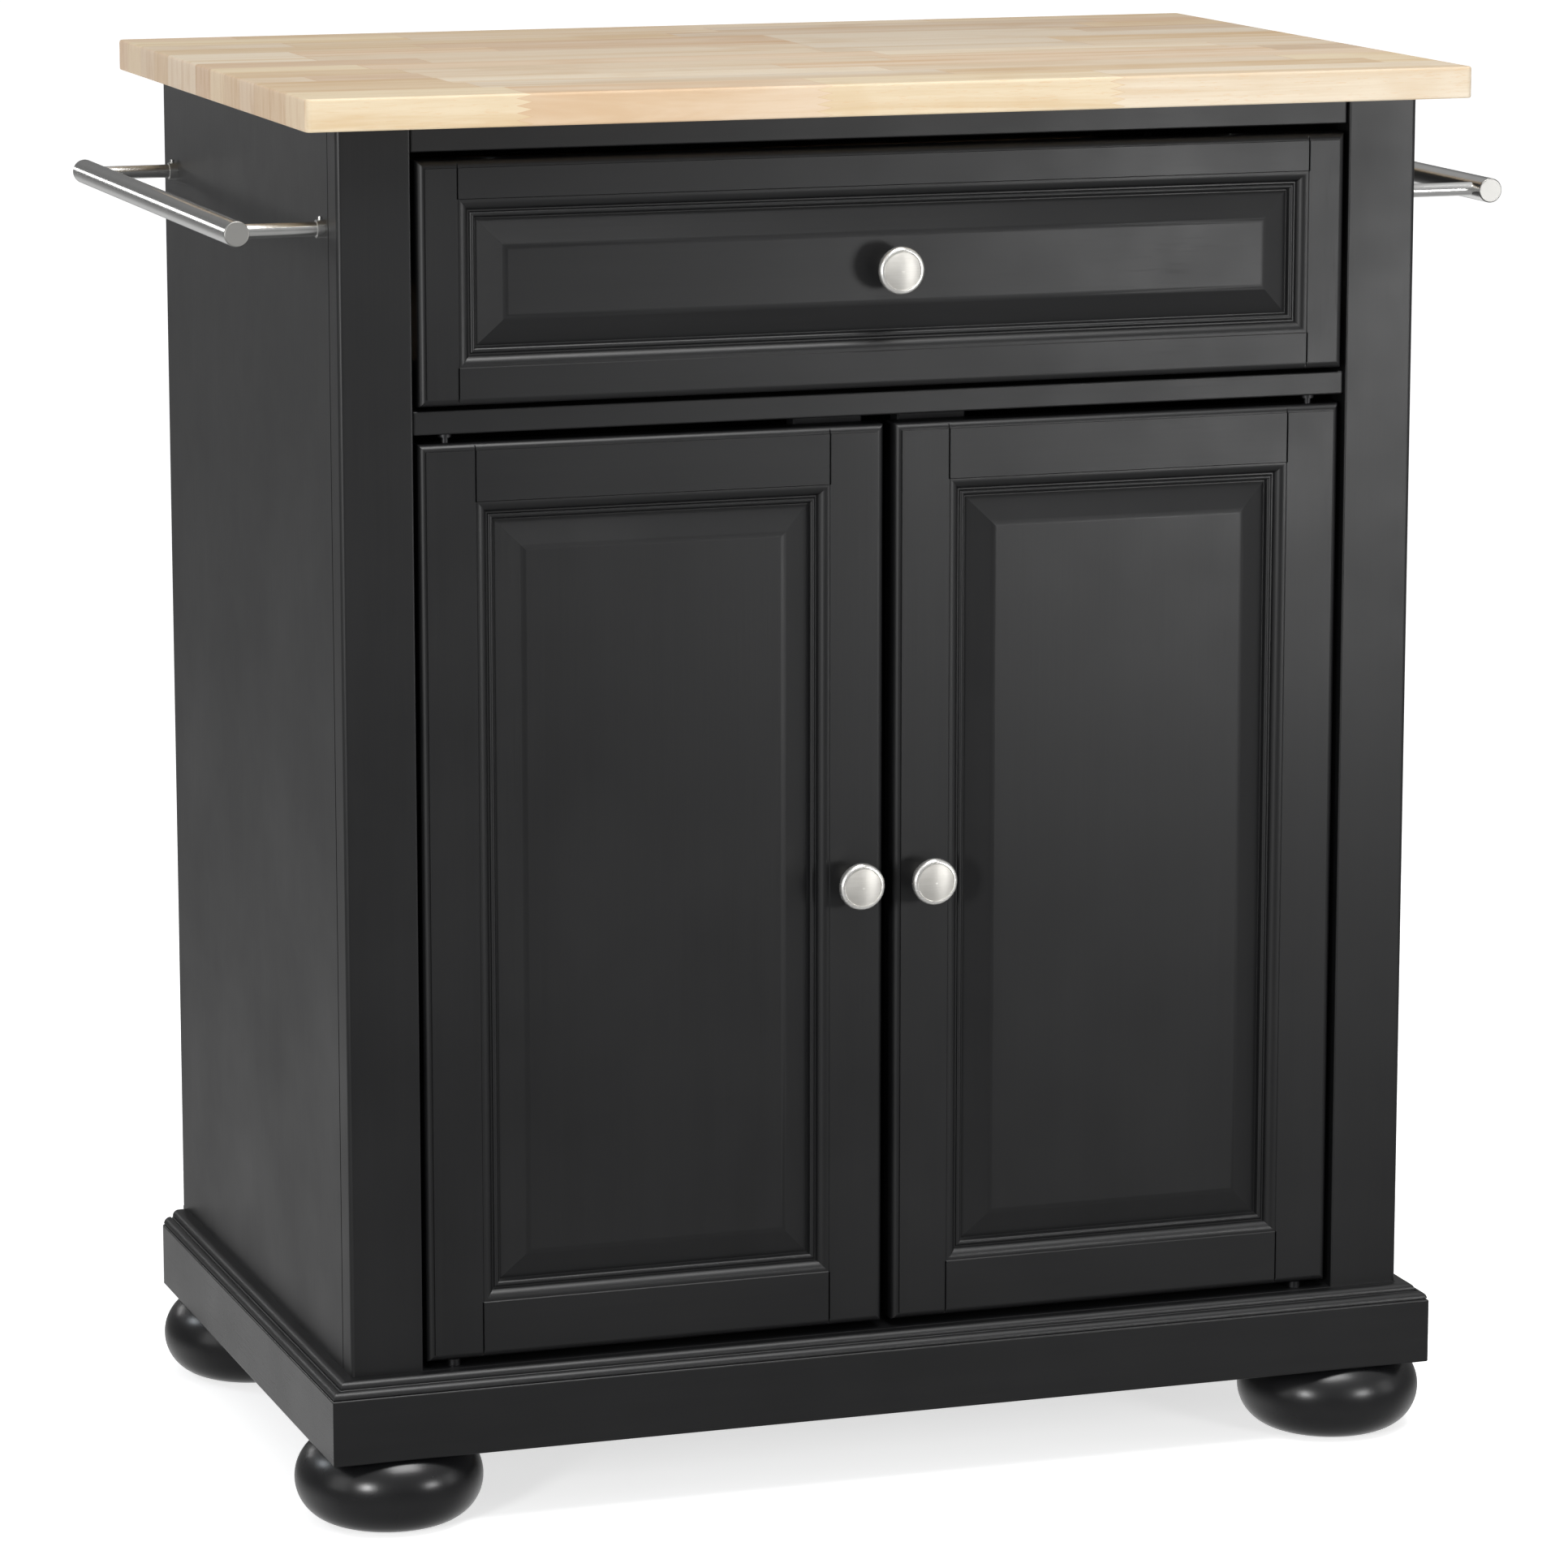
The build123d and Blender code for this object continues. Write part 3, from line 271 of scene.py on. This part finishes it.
    # glue lines between staves, and at the joints
    edge = t.math("ABSOLUTE", t.math("SUBTRACT", t.math("FRACT", across), 0.5))
    inside = t.math("MULTIPLY", t.math("GREATER_THAN", across, 0.6), t.math("LESS_THAN", across, 12.6))
    glue = t.math("MULTIPLY", t.math("MULTIPLY", t.span(edge, 0.480, 0.497, 0.0, 1.0), inside),
                  t.span(t.white(t.math("ROUND", across)), 0.0, 1.0, 0.10, 0.60))
    near = t.math("MINIMUM", t.math("ABSOLUTE", gaps[0]), t.math("MINIMUM", t.math("ABSOLUTE", gaps[1]), t.math("ABSOLUTE", gaps[2])))
    joint = t.math("MULTIPLY", t.span(near, 0.0002, 0.0009, 0.45, 0.0), t.math("SUBTRACT", 1.0, ends))
    line = t.math("MAXIMUM", glue, joint)
    t.set(Base_Color=t.mix(line, toned, (0.430, 0.265, 0.150)))
    t.set(Roughness=t.math("ADD", t.span(flow, 0.3, 0.7, 0.44, 0.54), t.math("MULTIPLY", flecks, 0.2)))
    t.bsdf.inputs["Specular IOR Level"].default_value = 0.38
    height = t.math("SUBTRACT", t.math("MULTIPLY", fibre, 0.5), t.math("ADD", flecks, t.math("MULTIPLY", line, 0.8)))
    t.set(Normal=t.bump(height, 0.30, 0.00015))
    return t.mat


def pale_ply(name, axis):
    """Clear-sealed pale wood for the drawer box and the hidden blocks."""
    t = Tree(name)
    flow = t.noise(t.mapping(stretch(axis, 48, 3.0)), detail=6, rough=0.6, distortion=0.6)
    fibre = t.noise(t.mapping(stretch(axis, 700, 24)), detail=4)
    tone = t.ramp(flow, [(0.30, (0.700, 0.520, 0.320)), (0.52, (0.620, 0.440, 0.255)), (0.72, (0.520, 0.345, 0.190))])
    t.set(Base_Color=t.mix(t.span(fibre, 0.4, 0.7, 0.0, 0.30), tone, (0.430, 0.280, 0.150)))
    t.set(Roughness=t.span(flow, 0.3, 0.7, 0.45, 0.58))
    t.set(Normal=t.bump(fibre, 0.25, 0.00015))
    return t.mat


def brushed_metal(name, scale, colour, low, high, strength=0.35, distance=0.00005):
    """Metal with fine brush lines; scale is large across the lines and small along them."""
    t = Tree(name)
    lines = t.noise(t.mapping(scale), detail=4, rough=0.65)
    broad = t.noise(t.mapping((60, 60, 60)), detail=3)
    dark = tuple(c * 0.80 for c in colour)
    t.set(Base_Color=t.ramp(t.math("ADD", t.math("MULTIPLY", lines, 0.7), t.math("MULTIPLY", broad, 0.3)),
                            [(0.30, dark), (0.70, colour)]))
    t.bsdf.inputs["Metallic"].default_value = 1.0
    t.set(Roughness=t.span(lines, 0.3, 0.7, low, high))
    t.set(Normal=t.bump(lines, strength, distance))
    return t.mat


def turned_bar(name, axis, colour, low, high):
    """Polished round bar with fine rings round it and satin end caps."""
    t = Tree(name)
    rings = t.noise(t.mapping(stretch(axis, 40, 2600)), detail=4, rough=0.65)
    broad = t.noise(t.mapping((50, 50, 50)), detail=3)
    own = t.t.nodes.new("ShaderNodeTexCoord").outputs["Generated"]
    run = t.xyz(own)[axis]
    cap = t.math("GREATER_THAN", t.math("ABSOLUTE", t.math("SUBTRACT", run, 0.5)), 0.4975)
    dark = tuple(c * 0.88 for c in colour)
    tone = t.ramp(t.math("ADD", t.math("MULTIPLY", rings, 0.5), t.math("MULTIPLY", broad, 0.5)),
                  [(0.30, dark), (0.70, colour)])
    t.set(Base_Color=t.mix(cap, tone, (0.37, 0.365, 0.35)))
    t.bsdf.inputs["Metallic"].default_value = 1.0
    t.bsdf.inputs["Anisotropic"].default_value = 0.30
    t.bsdf.inputs["Anisotropic Rotation"].default_value = 0.0
    around = t.t.nodes.new("ShaderNodeTangent")
    around.direction_type, around.axis = "RADIAL", "XYZ"[axis]
    t.set(Tangent=t.mix(cap, around.outputs[0], (1.0, 0.0, 0.3)))
    t.set(Roughness=t.math("ADD", t.span(rings, 0.3, 0.7, low, high), t.math("MULTIPLY", cap, 0.26)))
    t.set(Normal=t.bump(rings, 0.04, 0.00002))
    return t.mat


def moulded_plastic(name, colour, rough):
    t = Tree(name)
    grit = t.noise(t.mapping((900, 900, 900)), detail=3)
    broad = t.noise(t.mapping((40, 40, 40)), detail=3)
    t.set(Base_Color=t.ramp(broad, [(0.3, tuple(c * 0.9 for c in colour)), (0.7, colour)]))
    t.set(Roughness=t.span(broad, 0.3, 0.7, rough - 0.05, rough + 0.05))
    t.set(Normal=t.bump(grit, 0.15, 0.00008))
    return t.mat


def brushed_knob(name):
    """Satin nickel: a face brushed straight across inside a polished rim."""
    t = Tree(name)
    lines = t.noise(t.mapping((60, 60, 2600)), detail=3, rough=0.6)
    broad = t.noise(t.mapping((90, 90, 90)), detail=2)
    own = t.t.nodes.new("ShaderNodeTexCoord").outputs["Generated"]
    gx, gy, gz = t.xyz(own)
    dx, dz = (t.math("SUBTRACT", g, 0.5) for g in (gx, gz))
    radius = t.math("MULTIPLY", t.math("SQRT", t.math("ADD", t.math("MULTIPLY", dx, dx), t.math("MULTIPLY", dz, dz))), 2.0)
    face = t.span(radius, 0.79, 0.82, 1.0, 0.0)
    satin = t.ramp(t.math("ADD", t.math("MULTIPLY", lines, 0.6), t.math("MULTIPLY", broad, 0.4)),
                   [(0.30, (0.55, 0.535, 0.50)), (0.70, (0.66, 0.645, 0.61))])
    t.set(Base_Color=t.mix(face, (0.86, 0.85, 0.82), satin))
    t.bsdf.inputs["Metallic"].default_value = 0.88
    t.bsdf.inputs["Anisotropic"].default_value = 0.80
    t.bsdf.inputs["Anisotropic Rotation"].default_value = 0.25
    around = t.t.nodes.new("ShaderNodeTangent")
    around.direction_type, around.axis = "RADIAL", "Z"
    t.link(around.outputs[0], t.bsdf.inputs["Tangent"])
    grain = t.span(lines, 0.3, 0.7, -0.03, 0.04)
    t.set(Roughness=t.math("ADD", t.span(face, 0.0, 1.0, 0.24, 0.46), grain))
    t.set(Normal=t.bump(lines, 0.08, 0.00002))
    return t.mat


X, Y, Z = 0, 1, 2
paint = {X: painted_wood("paint_grain_x", X), Y: painted_wood("paint_grain_y", Y), Z: painted_wood("paint_grain_z", Z)}
plinth_paint = painted_wood("paint_plinth_end", Y, gloss=0.13, peel=0.12)
foot_paint = turned_paint("paint_turned")
block = butcher_block("butcher_block")
ply = {X: pale_ply("pale_wood_x", X), Y: pale_ply("pale_wood_y", Y)}
nickel = brushed_knob("brushed_nickel")
steel_bar = turned_bar("brushed_steel_bar", Y, (0.80, 0.80, 0.785), 0.15, 0.18)
steel_arm = brushed_metal("brushed_steel_arm", (30, 2400, 2400), (0.80, 0.80, 0.785), 0.20, 0.28, 0.15, 0.00002)
zinc = brushed_metal("zinc_plate", (300, 500, 500), (0.62, 0.64, 0.66), 0.34, 0.48)
nylon = moulded_plastic("white_nylon", (0.78, 0.78, 0.74), 0.42)
black_plastic = moulded_plastic("black_plastic", (0.008, 0.008, 0.009), 0.62)
black_plastic.node_tree.nodes["Principled BSDF"].inputs["Specular IOR Level"].default_value = 0.25
# Pivot pins drawn as near-black steel, far darker than the zinc parts.
dark_steel = brushed_metal("dark_pin_steel", (300, 500, 500), (0.050, 0.050, 0.052), 0.38, 0.52)

finish = {}
for n in nodes:
    if n.startswith("bun_foot"):
        finish[n] = foot_paint
    elif n in ("butcher_block_top",):
        finish[n] = block
    elif n.endswith("_knob"):
        finish[n] = nickel
    elif n in ("left_towel_bar", "right_towel_bar"):
        finish[n] = steel_bar
    elif n == "towel_bar_arms":
        finish[n] = steel_arm
    elif n == "pivot_pins":
        finish[n] = dark_steel
    elif n in ("slide_tracks", "drawer_runners", "foot_bolts", "assembly_screws", "shelf_pins",
               "left_strike_plate", "right_strike_plate"):
        finish[n] = zinc
    elif n.endswith("_slide_rollers"):
        finish[n] = nylon
    elif n == "magnetic_catches":
        finish[n] = black_plastic
    elif n in ("drawer_box_sides", "slide_spacers"):
        finish[n] = ply[Y]
    elif n.startswith("drawer_box") or n == "plinth_corner_blocks":
        finish[n] = ply[X]
    elif n in ("plinth_left", "plinth_right"):
        finish[n] = plinth_paint
    elif n in ("base_moulding_left", "base_moulding_right"):
        finish[n] = paint[Y]
    elif "rail" in n or n in ("plinth_front", "plinth_back", "base_moulding_front", "stretchers", "adjustable_shelf",
                              "bottom_panel", "drawer_front_panel"):
        finish[n] = paint[X]
    else:
        finish[n] = paint[Z]
for n, mat in finish.items():
    o = nodes[n]
    if not o.material_slots:
        o.data.materials.append(mat)
    for s in o.material_slots:
        s.link = "OBJECT"
        s.material = mat


# ------------------------------------------------------------------ floor and light
def stage_material():
    """Plain white studio floor that glows a little, so it reads white under soft light."""
    t = Tree("studio_floor")
    speck = t.noise(t.mapping((3, 3, 3)), detail=3)
    t.set(Base_Color=t.ramp(speck, [(0.3, (0.86, 0.86, 0.86)), (0.7, (0.88, 0.88, 0.88))]))
    t.bsdf.inputs["Roughness"].default_value = 0.8
    t.bsdf.inputs["Specular IOR Level"].default_value = 0.1
    t.bsdf.inputs["Emission Color"].default_value = (1.0, 1.0, 1.0, 1.0)
    path = t.t.nodes.new("ShaderNodeLightPath").outputs["Is Camera Ray"]
    t.set(Emission_Strength=t.span(path, 0.0, 1.0, FLOOR_BOUNCE, FLOOR_GLOW))
    return t.mat


FLOOR_GLOW, FLOOR_BOUNCE = 0.66, 0.14
bpy.ops.mesh.primitive_plane_add(size=120.0, location=(0, 0, 0))
floor = bpy.context.object
floor.name = "floor"
floor.data.materials.append(stage_material())
floor.visible_glossy = False

# The room: white where the camera sees it, and a soft grey studio for everything else.
world = bpy.data.worlds.new("studio")
scene.world = world
world.use_nodes = True
wt = world.node_tree
wt.nodes.clear()
w_out = wt.nodes.new("ShaderNodeOutputWorld")
w_white = wt.nodes.new("ShaderNodeBackground")
w_white.inputs["Color"].default_value = (1.0, 1.0, 1.0, 1.0)
w_white.inputs["Strength"].default_value = 1.0
w_room = wt.nodes.new("ShaderNodeBackground")
w_room.inputs["Strength"].default_value = 1.0
w_path = wt.nodes.new("ShaderNodeLightPath")
w_mix = wt.nodes.new("ShaderNodeMixShader")
wt.links.new(w_path.outputs["Is Camera Ray"], w_mix.inputs[0])
wt.links.new(w_room.outputs[0], w_mix.inputs[1])
wt.links.new(w_white.outputs[0], w_mix.inputs[2])
wt.links.new(w_mix.outputs[0], w_out.inputs[0])
w_dir = wt.nodes.new("ShaderNodeTexCoord")
w_sep = wt.nodes.new("ShaderNodeSeparateXYZ")
wt.links.new(w_dir.outputs["Generated"], w_sep.inputs[0])
w_up = wt.nodes.new("ShaderNodeMapRange")
w_up.inputs[1].default_value, w_up.inputs[2].default_value = -1.0, 1.0
wt.links.new(w_sep.outputs[2], w_up.inputs[0])
ROOM_FRONT = [(0.0, 0.34), (0.22, 0.40), (0.36, 0.32), (0.44, 0.26), (0.52, 0.19), (0.60, 0.34), (0.74, 0.44), (1.0, 0.66)]
ROOM_BACK = [(0.0, 0.40), (0.29, 0.80), (0.37, 0.56), (0.42, 0.28), (0.47, 0.19), (0.60, 0.18), (0.72, 0.36), (1.0, 0.62)]
w_sides = []
for stops in (ROOM_FRONT, ROOM_BACK):
    w_ramp = wt.nodes.new("ShaderNodeValToRGB")
    w_ramp.color_ramp.interpolation = "EASE"
    while len(w_ramp.color_ramp.elements) < len(stops):
        w_ramp.color_ramp.elements.new(0.5)
    for e, (p, v) in zip(w_ramp.color_ramp.elements, stops):
        e.position, e.color = p, (v, v, v, 1.0)
    wt.links.new(w_up.outputs[0], w_ramp.inputs[0])
    w_sides.append(w_ramp.outputs[0])
w_back = wt.nodes.new("ShaderNodeMapRange")
w_back.interpolation_type = "SMOOTHSTEP"
for i, v in enumerate((-0.3, 0.5, 0.0, 1.0)):
    w_back.inputs[i + 1].default_value = v
wt.links.new(w_sep.outputs[1], w_back.inputs[0])
w_mul = wt.nodes.new("ShaderNodeMix")
w_mul.data_type = "RGBA"
wt.links.new(w_back.outputs[0], w_mul.inputs[0])
wt.links.new(w_sides[0], w_mul.inputs[6])
wt.links.new(w_sides[1], w_mul.inputs[7])
wt.links.new(w_mul.outputs[2], w_room.inputs["Color"])


def softbox(name, location, target, size, watts, colour=(1, 1, 1), spread=180.0):
    data = bpy.data.lights.new(name, "AREA")
    data.shape = "RECTANGLE"
    data.size, data.size_y = size
    data.energy = watts
    data.color = colour
    data.spread = math.radians(spread)
    o = bpy.data.objects.new(name, data)
    o.location = location
    o.rotation_euler = (Vector(target) - Vector(location)).to_track_quat("-Z", "Y").to_euler()
    scene.collection.objects.link(o)
    return o


softbox("key_right", (1.067, -1.951, 0.583), (0.1, -0.2, 0.65), (0.46, 0.34), 9.4)
softbox("fill_left", (-2.20, -2.22, 0.90), (0, -0.1, 0.5), (0.44, 0.60), 32)
softbox("fill_right", (2.6, -1.5, 0.85), (0, 0, 0.5), (0.8, 1.2), 3.5)
softbox("window_left", (-2.36, 1.35, 1.68), (-0.3, 0.0, 0.5), (0.6, 0.45), 9, (0.88, 0.94, 1.0))
softbox("side_left", (-3.0, -0.7, 0.9), (0, 0, 0.6), (1.2, 1.6), 7)
softbox("edge_left", (-1.45, 2.79, 1.02), (-0.42, 0.0, 0.83), (0.8, 0.25), 2.6)
softbox("top", (0.15, -1.15, 3.0), (0, 0, 0.5), (1.5, 1.5), 67)
